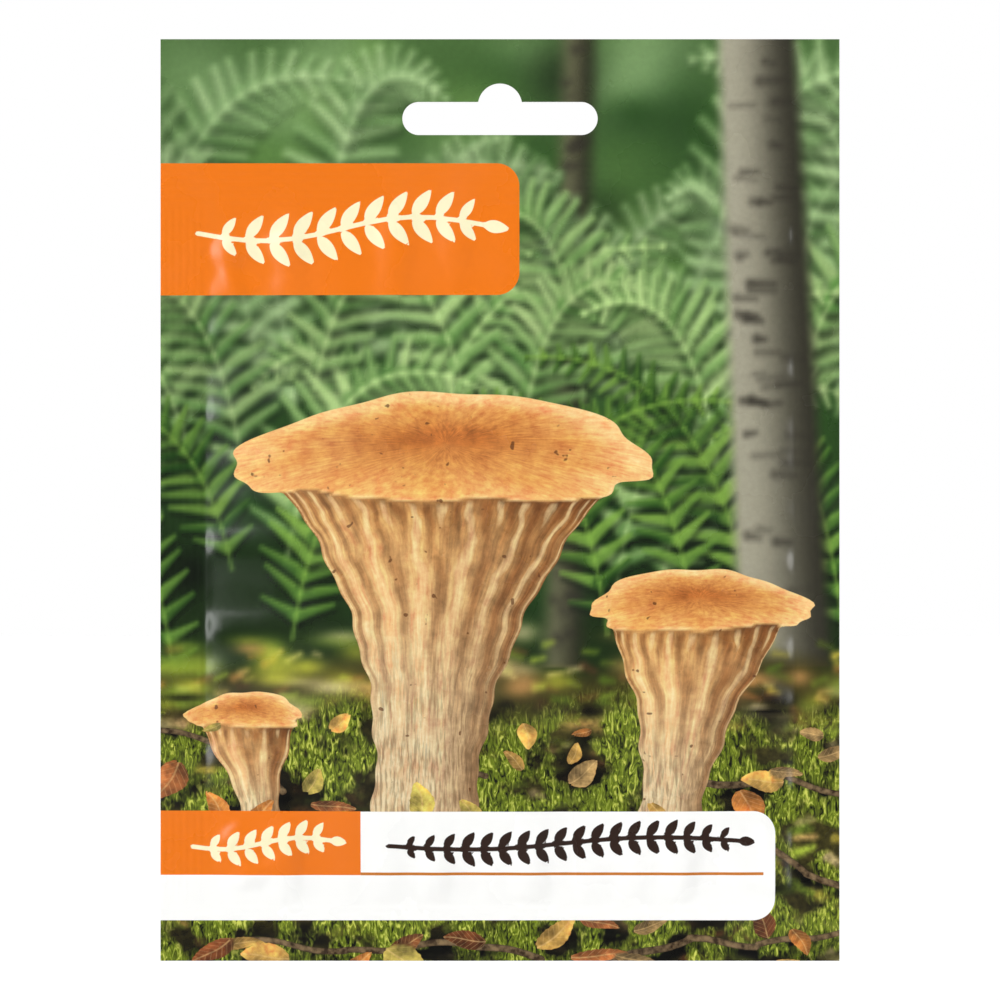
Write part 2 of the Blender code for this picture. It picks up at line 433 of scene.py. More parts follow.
def blob(canvas, centre, radii, colour, strength):
    # a soft patch that falls off as a bell curve
    where = nearBox(canvas, centre, centre, 2.2 * max(radii))
    acrossU = (canvas["u"][where] - centre[0]) / radii[0]
    acrossV = (canvas["v"][where] - centre[1]) / radii[1]
    lay(canvas, where, strength * np.exp(-(acrossU**2 + acrossV**2)), colour)


def between(rng, low, high):
    # a colour drawn between two colours
    return np.asarray(low) + rng.uniform() * (np.asarray(high) - np.asarray(low))


def frond(canvas, rng, root, bend, tip, leaf, tones, strength, soft, pairs):
    # leaflets in pairs along a quadratic curve, longest near its root and shorter towards its tip,
    # each over its own soft shadow and with a lighter upper side
    root, bend, tip = (np.asarray(p, float) for p in (root, bend, tip))
    last = root
    for step in range(1, pairs + 1):
        t = step / pairs
        place = (1 - t) ** 2 * root + 2 * t * (1 - t) * bend + t * t * tip
        run = place - last
        run /= np.hypot(*run) + 1e-9
        length = leaf * (1 - t) ** 0.7 * min(1.0, 0.5 + 3.0 * t) + 0.3
        width = 0.13 * length + 0.28
        for side in (-1, 1):
            angle = side * (1.1 + rng.uniform(-0.12, 0.12))
            cos, sin = math.cos(angle), math.sin(angle)
            way = np.array([run[0] * cos - run[1] * sin, run[0] * sin + run[1] * cos])
            end = place + way * length + np.array([0.0, 0.10 * length])
            below = np.array([0.12, 0.62]) * width * 1.5
            halves = (width, 0.25 * width)
            stroke(canvas, place + below, end + below, halves, woodland["gap"], 0.42 * strength, soft)
            stroke(canvas, place, end, halves, between(rng, *tones), strength, soft)
            lit, halves = place + way * 0.15 * length - below * 0.4, (0.35 * width, 0.1 * width)
            stroke(canvas, lit, end - below * 0.3, halves, tones[1], 0.55 * strength, soft)
        stroke(canvas, last, place, (0.38, 0.3), tones[1], 0.6 * strength, 0.7 * soft)
        last = place


woodland = {
    "seed": 23,
    "sky": ((0, 86, 120, 66), (28, 76, 112, 56), (58, 56, 92, 40), (84, 34, 60, 22), (150, 48, 56, 20)),
    "mint": (166, 196, 142),
    "leafLight": (132, 172, 92),
    "leafDeep": (42, 80, 30),
    "gap": (12, 24, 8),
    "groundTop": 99.0,
}


def paintBackdrop(canvas, rng):
    # a wood out of focus: soft greens that deepen downwards, with lighter and darker patches
    down, *colours = zip(*woodland["sky"])
    for channel, values in enumerate(colours):
        canvas["rgb"][:, channel] = np.interp(canvas["v"], down, np.array(values) / 255.0)
    patches = (
        (34, "mint", 0.60, (3, 8), (0, 60)),
        (36, "leafDeep", 0.80, (3, 9), (0, 90)),
        (30, "leafLight", 0.60, (3, 8), (0, 80)),
        (26, "gap", 0.80, (2.5, 6), (0, 100)),
    )
    for count, name, strength, sizes, heights in patches:
        for _ in range(count):
            centre = (rng.uniform(-5, 116), rng.uniform(*heights))
            radii = rng.uniform(*sizes, 2)
            blob(canvas, centre, radii, woodland[name], strength * rng.uniform(0.4, 1.0))


trunks = [
    {"top": 97.0, "foot": 101.5, "half": (6.2, 7.6), "soft": 1.5,
     "bark": (176, 172, 152), "dark": (62, 60, 48)},
    {"top": 68.0, "foot": 65.5, "half": (2.4, 3.0), "soft": 2.0,
     "bark": (112, 112, 84), "dark": (58, 58, 40)},
]
trunkMarks = {"count": 46, "colour": (58, 54, 46)}


def paintTrunk(canvas, rng, trunk):
    # a birch: a pale leaning band, darker down its right side, with short level marks in its bark
    ground, lean, half = woodland["groundTop"], trunk["foot"] - trunk["top"], trunk["half"]
    down = np.clip(canvas["v"] / ground, 0, 1)
    width = half[0] + (half[1] - half[0]) * down
    apart = canvas["u"] - (trunk["top"] + lean * down)
    share = smooth((width - np.abs(apart)) / (2 * trunk["soft"]) + 0.5) * (canvas["v"] < ground + 3)
    rounded = smooth((apart / width + 1.0) / 2.0) ** 1.5
    colour = towards(np.asarray(trunk["bark"]), np.asarray(trunk["dark"]), rounded)
    canvas["rgb"] = towards(canvas["rgb"], colour / 255.0, share)
    for _ in range(trunkMarks["count"]):
        height = rng.uniform(0, ground)
        middle = trunk["top"] + lean * height / ground
        start = middle + rng.uniform(-0.85, 0.4) * half[0]
        end = min(start + rng.uniform(0.15, 0.75) * half[0], middle + 0.85 * half[0])
        size = rng.uniform(0.15, 0.7)
        endHeight = height + rng.uniform(-0.3, 0.5)
        stroke(canvas, (start, height), (end, endHeight), (size, 0.4 * size), trunkMarks["colour"],
               rng.uniform(0.35, 0.8), 0.7 * trunk["soft"])


def paintFerns(canvas, rng):
    # fronds that rise from below in three depths: far ones soft and pale, near ones darker and sharper
    depths = (
        (20, ((104, 146, 82), (196, 222, 166)), 0.74, 1.5, (8.0, 12.0), (26, 66), 16),
        (16, ((90, 138, 66), (202, 228, 158)), 0.86, 0.95, (8.5, 13.0), (54, 92), 18),
        (10, ((38, 82, 24), (148, 188, 84)), 0.88, 0.6, (6.5, 10.0), (84, 106), 20),
    )
    for count, tones, strength, soft, leaves, heights, pairs in depths:
        for place in rng.permutation(count):
            rootU = (place + rng.uniform(0.1, 0.9)) * 126 / count - 8
            lean = rng.choice((-1, 1)) * rng.uniform(12, 36)
            rise = rng.uniform(32, 54)
            low = rng.uniform(*heights)
            bend = (rootU + 0.25 * lean, low - 0.95 * rise)
            tip = (rootU + 1.25 * lean, low - rise * rng.uniform(0.55, 0.95))
            pale = [np.asarray(tone) * rng.uniform(0.86, 1.06) for tone in tones]
            frond(canvas, rng, (rootU, low), bend, tip, rng.uniform(*leaves), pale, strength, soft, pairs)


litter = {
    "strokes": 620,
    "colours": [
        (196, 146, 84), (222, 186, 118), (156, 100, 52), (226, 206, 84), (120, 82, 46),
        (204, 198, 124), (178, 118, 62), (236, 214, 160), (92, 66, 40), (168, 160, 72),
    ],
    "green": ((82, 108, 26), (176, 196, 70)),
    "greenShare": 0.38,
    "soil": (76, 70, 28),
    "foreground": (20, 16, 6),
    "glows": ((206, 206, 66), (216, 164, 102), (232, 220, 172), (150, 176, 62)),
    "hollow": (18, 15, 6),
}


def paintGround(canvas, rng):
    # the wood's floor: fallen leaves as short level strokes, larger and sharper towards the bottom
    top, everywhere = woodland["groundTop"], np.arange(len(canvas["u"]))
    share = smooth((canvas["v"] - top - 1.8 * np.sin(canvas["u"] / 8.5)) / 5.0)
    lay(canvas, everywhere, 0.95 * share, litter["soil"])
    for step in range(litter["strokes"]):
        v = top + 1 + 52 * (step / litter["strokes"]) ** 1.1 + rng.uniform(-2, 2)
        near = (v - top) / 50
        u = rng.uniform(-3, 114)
        length = rng.uniform(1.0, 3.2) * (0.7 + near)
        tilt = rng.uniform(-0.5, 0.5)
        end = (u + length * math.cos(tilt), v + length * math.sin(tilt))
        colour = litter["colours"][rng.integers(len(litter["colours"]))]
        if rng.uniform() < litter["greenShare"]:
            colour = between(rng, *litter["green"])
        size = rng.uniform(0.35, 0.95) * (0.7 + 0.5 * near)
        stroke(canvas, (u, v), end, (size, 0.6 * size), colour, rng.uniform(0.6, 0.95), 0.9 - 0.5 * near)
    lay(canvas, everywhere, 0.40 * smooth((canvas["v"] - 141) / 5), litter["foreground"])
    for _ in range(85):
        centre = (rng.uniform(-2, 113), rng.uniform(top - 3, top + 13))
        radii = (rng.uniform(1.6, 4.6), rng.uniform(0.7, 2.0))
        blob(canvas, centre, radii, litter["glows"][rng.integers(4)], rng.uniform(0.35, 0.8))
    for _ in range(150):
        v = rng.uniform(top + 8, 152)
        centre = (rng.uniform(0, 111), v)
        radii = (rng.uniform(1.2, 4.6), rng.uniform(0.5, 1.6))
        blob(canvas, centre, radii, litter["hollow"], rng.uniform(0.5, 0.95))


# Places and sizes in millimetres; wave and turn shape the lip, ribs sets how close
# together they run.
fungi = [
    {"rim": (46.5, 66.0), "half": 34.0, "open": 8.8, "droop": 4.4, "stem": 7.4, "foot": (42.0, 137.0),
     "flare": 2.6, "ribs": 16.0, "wave": (0.05, 0.035, 0.02), "turn": 3.9},
    {"rim": (87.5, 91.0), "half": 18.0, "open": 5.0, "droop": 2.4, "stem": 4.4, "foot": (81.0, 136.0),
     "flare": 2.4, "ribs": 11.0, "wave": (0.06, 0.04, 0.025), "turn": 2.1},
    {"rim": (14.0, 109.0), "half": 9.5, "open": 2.9, "droop": 1.4, "stem": 2.6, "foot": (18.0, 134.0),
     "flare": 2.2, "ribs": 8.0, "wave": (0.07, 0.05, 0.02), "turn": 4.6},
]
fungusColours = {
    "top": (238, 172, 94),
    "hollow": (188, 108, 44),
    "lip": (252, 218, 156),
    "under": (226, 172, 102),
    "shadow": (108, 64, 28),
    "stem": (202, 178, 138),
}
pictureLight = (-0.50, 0.52, 0.69)  # from the left, above and in front
farOff = -9.0  # an edge distance, in millimetres, well outside everything


def paintFungi(canvas):
    # Funnel-shaped mushrooms. The open top is an ellipse with a wavy lip that droops at both ends; below it
    # a funnel narrows to the stem, its half-width a power of the way down. Light is a dot product with the
    # funnel's own normal. Edges are kept as distances, so they print sharp.
    u, v = canvas["u"], canvas["v"]
    colours = {name: np.asarray(value) / 255.0 for name, value in fungusColours.items()}
    edge = np.full(len(u), farOff)
    kept = {name: np.zeros(len(u)) for name in ("Rib", "RibShare", "Fork", "Along", "Around", "Stem")}
    rgb = np.tile(colours["under"], (len(u), 1))
    for fungus in fungi:
        half, turn, deep = fungus["half"], fungus["turn"], fungus["foot"][1] - fungus["rim"][1]
        atU, atV = u - fungus["rim"][0], v - fungus["rim"][1]
        topV = atV - fungus["droop"] * (atU / half) ** 2
        angle = np.arctan2(topV / fungus["open"], atU / half)
        out = np.hypot(atU / half, topV / fungus["open"])
        lip = 1.0
        for order, (wave, lobes) in enumerate(zip(fungus["wave"], (3, 7, 13)), 1):
            lip = lip + wave * np.sin(lobes * angle + order * turn)
        topEdge = (lip - out) * np.hypot(half * np.cos(angle), fungus["open"] * np.sin(angle))

        down = np.clip(atV / deep, 0, 1)
        apart = atU - (fungus["foot"][0] - fungus["rim"][0]) * down**1.3
        narrowing = (0.95 * half - fungus["stem"]) * (1 - down) ** fungus["flare"]
        width = fungus["stem"] * (1 + 0.16 * smooth((down - 0.6) / 0.4)) + narrowing
        width = width + 0.3 * np.sin(0.5 * atV + turn) + 0.2 * np.sin(1.1 * atV)
        lean = fungus["flare"] * narrowing / np.clip(1 - down, 0.02, 1) / deep
        level = 1 / np.sqrt(1 + lean**2)
        sideEdge = np.minimum((width - np.abs(apart)) * level, np.minimum(topV, deep - atV))
        whole = np.maximum(topEdge, sideEdge)
        onTop = np.where(sideEdge > topEdge, smooth(topEdge / 0.35 + 0.5), 1.0)
        turned = np.arcsin(np.clip(apart / width, -0.999, 0.999))

        # the funnel: lit by its normal, darker under the lip, paler towards the stem
        lit = pictureLight[0] * np.sin(turned) - pictureLight[1] * lean + pictureLight[2] * np.cos(turned)
        below = np.clip(-topEdge, 0, None)
        tone = 0.42 + 0.72 * np.clip(level * lit + 0.18, 0, 1)
        tone = tone - 0.34 * np.exp(-below / 2.2) - 0.12 * np.exp(-below / 9)
        under = 1.12 * towards(colours["under"], colours["stem"], smooth(down / 0.75))
        under = towards(colours["shadow"], under, np.clip(tone, 0, 1))

        # the open top: darker in its hollow, with a light rim and faint folds
        hollow = np.exp(-((out / lip) ** 2) / 0.30) * (1.0 - 0.25 * np.sin(angle))
        top = towards(colours["top"], colours["hollow"], np.clip(hollow, 0, 1))
        light = smooth((out / lip - 0.66) / 0.3) * (0.42 - 0.30 * np.sin(angle) + 0.16 * np.cos(angle))
        light = light + 0.5 * np.exp(-((topEdge - 0.25) / 0.22) ** 2) * smooth(np.sin(angle) + 0.3)
        light = light + 0.07 * np.sin(9 * angle + 3 * turn + 4 * out) * smooth((out - 0.3) / 0.5)
        top = towards(top, colours["lip"], np.clip(light, -0.2, 0.9))
        mixed = np.clip(towards(under, top, onTop), 0, 1)
        rgb = towards(rgb, mixed, smooth((whole + 1.1) / 0.4))

        swayed = 0.5 * np.sin(0.23 * atV + 1.7 * turned) + 0.4 * np.sin(0.1 * atV)
        values = {
            "Rib": fungus["ribs"] * turned + swayed,
            "RibShare": (1 - onTop) * smooth((0.80 - down) / 0.5) * smooth(below / 1.2),
            "Fork": smooth((0.30 - down) / 0.16),
            "Along": np.where(topEdge > 0, 6 * out, 0.09 * atV + 7),
            "Around": np.where(topEdge > 0, half * angle * 0.35, half * 0.42 * turned),
            "Stem": (1 - onTop) * smooth((down - 0.34) / 0.36),
        }
        for name, value in values.items():
            kept[name] = np.where(whole > -0.8, value, kept[name])
        edge = np.maximum(edge, whole)
    writeColour(canvas, "fungusColour", rgb)
    writeValue(canvas, "fungusEdge", edge)
    for name, value in kept.items():
        writeValue(canvas, "fungus" + name, value)


def paintContact(canvas):
    # dark ground where each foot stands
    for fungus in fungi:
        foot = fungus["foot"]
        blob(canvas, (foot[0] + 1.5, 122), (2.3 * fungus["stem"], 7), (34, 30, 14), 0.75)


fallenLeaves = {
    "seed": 5,
    "missing": 0.30,
    "rows": [  # height, number of places and leaf size
        (112.0, 10, 2.6), (116.5, 11, 3.2), (121.0, 10, 3.8),
        (125.5, 10, 4.4), (145.5, 10, 4.2), (149.5, 9, 4.8),
    ],
    "colours": [(206, 128, 54), (226, 176, 84), (158, 92, 46), (232, 208, 96), (186, 150, 92), (140, 76, 38)],
}


def layLeaves():
    # where each fallen leaf lies, in millimetres, clear of the stems
    rng = np.random.default_rng(fallenLeaves["seed"])
    colours = np.array(fallenLeaves["colours"]) / 255.0
    leaves = []
    for height, count, size in fallenLeaves["rows"]:
        for place in range(count):
            if rng.uniform() < fallenLeaves["missing"]:
                continue
            centre = ((place + rng.uniform(0.1, 0.9)) * 112 / count, height + rng.uniform(-1.8, 1.8))
            stems = [abs(centre[0] - fungus["foot"][0]) < fungus["stem"] + size for fungus in fungi]
            if any(stems) and centre[1] < 123:
                continue
            colour = colours[rng.integers(len(colours))]
            leaves.append({
                "centre": centre,
                "length": size * rng.uniform(0.7, 1.15),
                "squash": rng.uniform(0.5, 1.0),
                "turn": rng.uniform(0, 2 * math.pi),
                "colour": colour * rng.uniform(0.66, 1.04),
            })
    return leaves


def paintLeafShadows(canvas, leaves):
    for leaf in leaves:
        centre = (leaf["centre"][0] + 0.5, leaf["centre"][1] + 0.8)
        blob(canvas, centre, (1.05 * leaf["length"], 0.75 * leaf["length"]), (10, 9, 4), 0.85)


def paintLeaves(canvas, leaves):
    # Fallen birch leaves: broad near the stalk, drawn to a point, toothed. along and across run over each
    # leaf from -1 to 1, so that the material can draw its veins.
    u, v = canvas["u"], canvas["v"]
    edge = np.full(len(u), farOff)
    along, across = np.zeros(len(u)), np.zeros(len(u))
    rgb = np.tile(np.asarray(fallenLeaves["colours"][0]) / 255.0, (len(u), 1))
    for leaf in leaves:
        length, turn, squash = leaf["length"], leaf["turn"], leaf["squash"]
        atU, atV = u - leaf["centre"][0], (v - leaf["centre"][1]) / (0.45 + 0.45 * squash)
        a = (atU * math.cos(turn) + atV * math.sin(turn)) / length
        b = (-atU * math.sin(turn) + atV * math.cos(turn)) / length
        b = b + 0.10 * np.sin(2.2 * a + turn)
        width = 0.62 * squash * np.clip(1 - a * a, 0, None) ** 0.8 * (1 - 0.38 * a) + 0.02 * np.sin(26 * a)
        leafEdge = np.where(np.abs(a) < 1, (width - np.abs(b)) * length * 0.7, farOff)
        tone = 1 + 0.15 * np.tanh(6 * b) + 0.14 * a + 0.10 * np.sin(5 * a + turn)
        rgb = towards(rgb, np.clip(leaf["colour"] * tone[:, None], 0, 1), smooth(leafEdge / 0.5 + 1.0))
        along = np.where(leafEdge > -0.4, a, along)
        across = np.where(leafEdge > -0.4, b, across)
        edge = np.maximum(edge, leafEdge)
    writeColour(canvas, "leafColour", rgb)
    for name, values in (("leafEdge", edge), ("leafAlong", along), ("leafAcross", across)):
        writeValue(canvas, name, values)


# Twigs on the ground: corner points in millimetres, with the half-widths at the first and the last.
twigs = [
    {"points": [(-2, 112), (9, 114.5), (17, 119), (20, 122)], "half": (0.42, 0.62)},
    {"points": [(39, 112.5), (47, 117.5), (53, 119.5)], "half": (0.40, 0.50)},
    {"points": [(79, 119.5), (90, 121.5), (101, 120), (113, 123.5)], "half": (0.66, 0.46)},
    {"points": [(99, 131), (105, 136), (113, 138)], "half": (0.50, 0.62)},
    {"points": [(14, 146.5), (30, 148.6), (49, 147), (62, 149.5)], "half": (0.46, 0.60)},
    {"points": [(72, 150.5), (86, 146.5), (97, 147.5), (114, 144.8)], "half": (0.62, 0.48)},
]


def paintTwigs(canvas):
    # the greatest of half-width less distance over all the pieces of each twig, over a soft shadow
    edge = np.full(len(canvas["u"]), farOff)
    for twig in twigs:
        points = twig["points"]
        for place, (a, b) in enumerate(zip(points, points[1:])):
            halves = np.interp([place, place + 1], [0, len(points) - 1], twig["half"])
            where = nearBox(canvas, a, b, 3.0)
            along, offU, offV = fromSegment(canvas, where, a, b)
            offV = offV + 0.35 * np.sin(canvas["u"][where] / 2.3 + place)
            width = halves[0] + along * (halves[1] - halves[0])
            edge[where] = np.maximum(edge[where], width - np.hypot(offU, offV))
            shadow = np.hypot(offU - 0.3, offV - 0.9)
            lay(canvas, where, 0.8 * smooth((width + 0.5 - shadow) / 1.2 + 0.5), (8, 7, 3))
    writeValue(canvas, "twigEdge", edge)


# Leaf garlands on the tab, the box and the band, and two on the back. Each has a bowed stem and pairs of
# pointed leaves: its start and end, bow, leaf length, half-widths of leaf and stem, and number of pairs.
frontSprigs = [
    ((6.0, 31.6), (52.5, 30.2), 1.6, 5.6, 1.05, 0.38, 12),
    ((5.2, 131.4), (27.6, 130.3), 0.7, 3.6, 0.80, 0.36, 8),
    ((37.0, 131.2), (94.0, 130.4), 0.8, 3.6, 0.80, 0.36, 19),
]
backSprigs = [
    ((30.0, 27.6), (80.5, 26.4), 1.4, 4.6, 0.95, 0.42, 13),
    ((63.0, 119.0), (92.0, 98.0), 1.8, 7.4, 1.35, 0.46, 8),
]


def drawSprigs(canvas, sprigs):
    # a leaf's half-width is a sine of the way along it, squared off a little towards its stalk
    edge = np.full(len(canvas["u"]), farOff)
    for start, end, bow, leaf, leafHalf, stemHalf, pairs in sprigs:
        start, end = np.asarray(start), np.asarray(end)
        run = (end - start) / np.hypot(*(end - start))
        square = np.array([-run[1], run[0]])
        shares = [place / pairs for place in range(pairs + 1)]
        points = [start + t * (end - start) + bow * math.sin(2 * math.pi * t) * square for t in shares]
        shapes = [(a, b, stemHalf, False) for a, b in zip(points, points[1:])]
        for t, point in list(zip(shares, points))[1:-1]:
            size = min(1.0, 0.55 + 2.2 * t, 0.62 + 2.0 * (1 - t))
            for side in (-1, 1):
                way = math.cos(0.92) * run + side * math.sin(0.92) * square
                shapes.append((point + 0.35 * way, point + size * leaf * way, leafHalf * size, True))
        way = (points[-1] - points[-2]) / np.hypot(*(points[-1] - points[-2]))
        shapes.append((points[-1], points[-1] + 0.8 * leaf * way, leafHalf, True))
        for a, b, half, pointed in shapes:
            where = nearBox(canvas, a, b, half + 1.5)
            along, offU, offV = fromSegment(canvas, where, a, b)
            width = half * np.sin(math.pi * along**0.8) ** 0.85 if pointed else half
            edge[where] = np.maximum(edge[where], width - np.hypot(offU, offV))
    writeValue(canvas, "sprigEdge", edge)


def markPrintedSide(canvas, name):
    # 1 on the film's outer face and 0 on its inner one
    x, z = canvas["u"] * mm + packet["left"], packet["top"] - canvas["v"] * mm
    face = filmFace(x, z, films[name]["seed"])
    outside = films[name]["facing"] * canvas["y"] > face - 0.5 * packet["wall"]
    writeValue(canvas, "printedSide", outside.astype(float))


def paintPicture(canvas):
    rng = np.random.default_rng(woodland["seed"])
    paintBackdrop(canvas, rng)
    paintTrunk(canvas, rng, trunks[1])
    paintFerns(canvas, rng)
    paintTrunk(canvas, rng, trunks[0])
    paintGround(canvas, rng)
    paintContact(canvas)
    leaves = layLeaves()
    paintTwigs(canvas)
    paintLeafShadows(canvas, leaves)
    writeColour(canvas, "backdropColour", canvas["rgb"])
    paintFungi(canvas)
    paintLeaves(canvas, leaves)
    ground = smooth((canvas["v"] - woodland["groundTop"] - 6 - 2 * np.sin(canvas["u"] / 7)) / 9)
    writeValue(canvas, "mossShare", ground)


# Small helpers for node trees. A value given as a number goes into the socket; an output is linked.
def feed(tree, socket, value):
    if isinstance(value, bpy.types.NodeSocket):
        tree.links.new(value, socket)
    elif value is not None:
        socket.default_value = value


def addNode(tree, kind, inputs=None, **settings):
    node = tree.nodes.new(kind)
    for name, value in settings.items():
        setattr(node, name, value)
    for name, value in (inputs or {}).items():
        feed(tree, node.inputs[name], value)
    return node


def calc(tree, operation, first, second=None, third=None):
    inputs = {0: first, 1: second, 2: third}
    given = {place: value for place, value in inputs.items() if value is not None}
    return addNode(tree, "ShaderNodeMath", given, operation=operation).outputs[0]


def times(tree, first, second):
    return calc(tree, "MULTIPLY", first, second)


def mix(tree, share, first, second, blend="MIX"):
    node = addNode(tree, "ShaderNodeMix", data_type="RGBA", blend_type=blend)
    feed(tree, node.inputs[0], share)
    feed(tree, node.inputs[6], first)
    feed(tree, node.inputs[7], second)
    return node.outputs[2]


def spread(tree, value, low, high, toLow=0.0, toHigh=1.0):
    inputs = {0: value, 1: low, 2: high, 3: toLow, 4: toHigh}
    return addNode(tree, "ShaderNodeMapRange", inputs, clamp=True).outputs[0]


def attribute(tree, name, kind="Fac"):
    return addNode(tree, "ShaderNodeAttribute", attribute_name=name).outputs[kind]


def onObject(tree):
    return addNode(tree, "ShaderNodeTexCoord").outputs["Object"]


def noise(tree, place, scale, detail, **more):
    inputs = {"Vector": place, "Scale": scale, "Detail": detail, **more}
    return addNode(tree, "ShaderNodeTexNoise", inputs).outputs[0]


def spreadGrey(tree, value):
    # noise between 0.3 and 0.7 as a full grey range, for overlays
    return spread(tree, value, 0.3, 0.7, 0.1, 0.9)


def ink(tree, edge):
    # 1 where a distance drawn on the mesh is inside its outline, 0 outside, with a sharp edge
    return spread(tree, attribute(tree, edge), -0.04, 0.04)


def newGroup(name, inputs, outputs):
    group = bpy.data.node_groups.new(name, "ShaderNodeTree")
    for title, value in inputs.items():
        socket = group.interface.new_socket(title, in_out="INPUT", socket_type="NodeSocketFloat")
        socket.default_value = value
    for title, kind in outputs.items():
        group.interface.new_socket(title, in_out="OUTPUT", socket_type=kind)
    return group, group.nodes.new("NodeGroupInput").outputs, group.nodes.new("NodeGroupOutput").inputs


def roundedPatchGroup():
    # a sharp box with round corners on the packet's face: the distance to its outline, cut off at nothing
    names = {"Centre X": 0.0, "Centre Z": 0.0, "Half Width": 0.01, "Half Height": 0.01, "Radius": 0.001}
    group, given, out = newGroup("roundedPatch", names, {"Mask": "NodeSocketFloat"})
    place = onObject(group)
    split = addNode(group, "ShaderNodeSeparateXYZ", {0: place}).outputs
    beyond = []
    for axis, centre, half in (("X", "Centre X", "Half Width"), ("Z", "Centre Z", "Half Height")):
        apart = calc(group, "ABSOLUTE", calc(group, "SUBTRACT", split[axis], given[centre]))
        beyond.append(calc(group, "SUBTRACT", apart, calc(group, "SUBTRACT", given[half], given["Radius"])))
    outside = [calc(group, "MAXIMUM", value, 0.0) for value in beyond]
    corner = calc(group, "SQRT", calc(group, "ADD", *[times(group, v, v) for v in outside]))
    inside = calc(group, "MINIMUM", calc(group, "MAXIMUM", *beyond), 0.0)
    distance = calc(group, "SUBTRACT", calc(group, "ADD", corner, inside), given["Radius"])
    feed(group, out["Mask"], spread(group, distance, 0.03 * mm, -0.03 * mm))
    return group


def laminateGroup():
    # the plastic laminate's own surface: faint waviness, orange peel and a few dull rubbed patches
    names = {"Gloss": 0.35, "Rub": 0.1}
    outputs = {"Roughness": "NodeSocketFloat", "Height": "NodeSocketFloat"}
    group, given, out = newGroup("laminateSurface", names, outputs)
    place = onObject(group)
    peel = noise(group, place, 1500.0, 2.0)
    wave = noise(group, place, 130.0, 3.0)
    rubbed = noise(group, place, 55.0, 5.0)
    share = spread(group, rubbed, 0.5, 0.72)
    feed(group, out["Roughness"], calc(group, "MULTIPLY_ADD", share, given["Rub"], given["Gloss"]))
    feed(group, out["Height"], calc(group, "MULTIPLY_ADD", peel, 0.10, times(group, wave, 1.6)))
    return group


def newMaterial(name):
    material = bpy.data.materials.new(name)
    material.use_nodes = True
    tree = material.node_tree
    return material, tree, tree.nodes["Principled BSDF"]


def patch(tree, group, left, top, right, bottom, radius):
    # a patch of print by its edges, in millimetres from the packet's left and top
    inputs = {
        "Centre X": packet["left"] + (left + right) / 2 * mm,
        "Centre Z": packet["top"] - (top + bottom) / 2 * mm,
        "Half Width": (right - left) / 2 * mm,
        "Half Height": (bottom - top) / 2 * mm,
        "Radius": radius * mm,
    }
    return addNode(tree, "ShaderNodeGroup", inputs, node_tree=group).outputs["Mask"]


laminate = {
    "front": {"Gloss": 0.27, "Rub": 0.12},
    "back": {"Gloss": 0.32, "Rub": 0.14},
    "bump": 0.07 * mm,
    "bumpStrength": 0.8,
    "indexOfRefraction": 1.5,
    "specular": 0.42,
}


def finishLaminate(tree, shader, surfaceGroup, side):
    surface = addNode(tree, "ShaderNodeGroup", laminate[side], node_tree=surfaceGroup).outputs
    bump = {"Height": surface["Height"], "Distance": laminate["bump"], "Strength": laminate["bumpStrength"]}
    feed(tree, shader.inputs["Roughness"], surface["Roughness"])
    feed(tree, shader.inputs["Normal"], addNode(tree, "ShaderNodeBump", bump).outputs["Normal"])
    feed(tree, shader.inputs["Metallic"], 0.0)
    feed(tree, shader.inputs["IOR"], laminate["indexOfRefraction"])
    feed(tree, shader.inputs["Specular IOR Level"], laminate["specular"])


# Left, top, right and bottom of each panel, in millimetres, and its corner radius. Panels that run off
# the packet's left edge start outside it.
panels = {
    "tab": (-6.0, 20.2, 58.4, 41.7, 3.7),
    "band": (-6.0, 125.6, 100.0, 143.4, 3.6),
    "box": (-6.0, 125.55, 32.6, 136.0, 0.05),
    "rule": (32.6, 135.55, 98.1, 136.02, 0.05),
}
panelColours = {
    "orange": shade(240, 119, 0),
    "white": shade(251, 251, 249),
    "rule": shade(200, 118, 40),
    "cream": shade(250, 242, 200),
    "dark": shade(52, 34, 26),
    "bare": shade(222, 222, 218),
}


